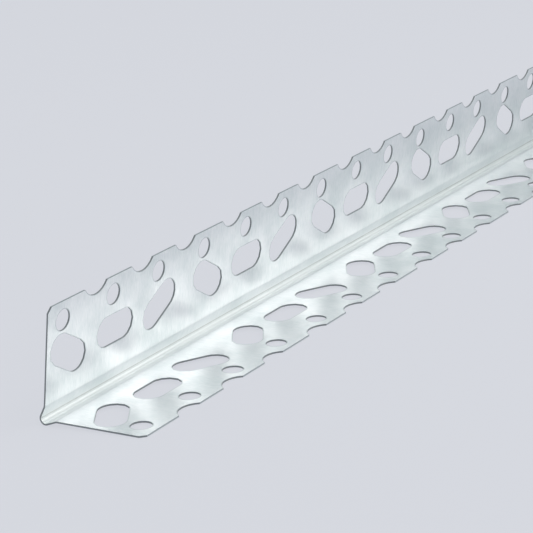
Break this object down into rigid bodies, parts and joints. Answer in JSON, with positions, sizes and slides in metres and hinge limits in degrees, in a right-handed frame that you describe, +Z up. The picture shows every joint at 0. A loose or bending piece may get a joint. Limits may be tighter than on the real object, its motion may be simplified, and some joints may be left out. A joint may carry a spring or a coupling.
{
  "type": "drywall corner bead",
  "caption": "Acute angle of thin galvanised sheet with a rounded nose and perforated, notched flanges; covers and straightens an outside drywall corner under the filler.",
  "frame": {"origin": "centre of the bounding box's underside, on the floor that the bead lies on", "axes": "+Y along the length, away from the near cut end; +X across the lower flange, away from the nose; +Z up"},
  "size_m": [0.031, 2.5, 0.0305],
  "materials": {
    "galvanised_sheet": "galvanised"
  },
  "bodies": {
    "root": {"corner_bead": "galvanised_sheet"}
  },
  "joints": []
}
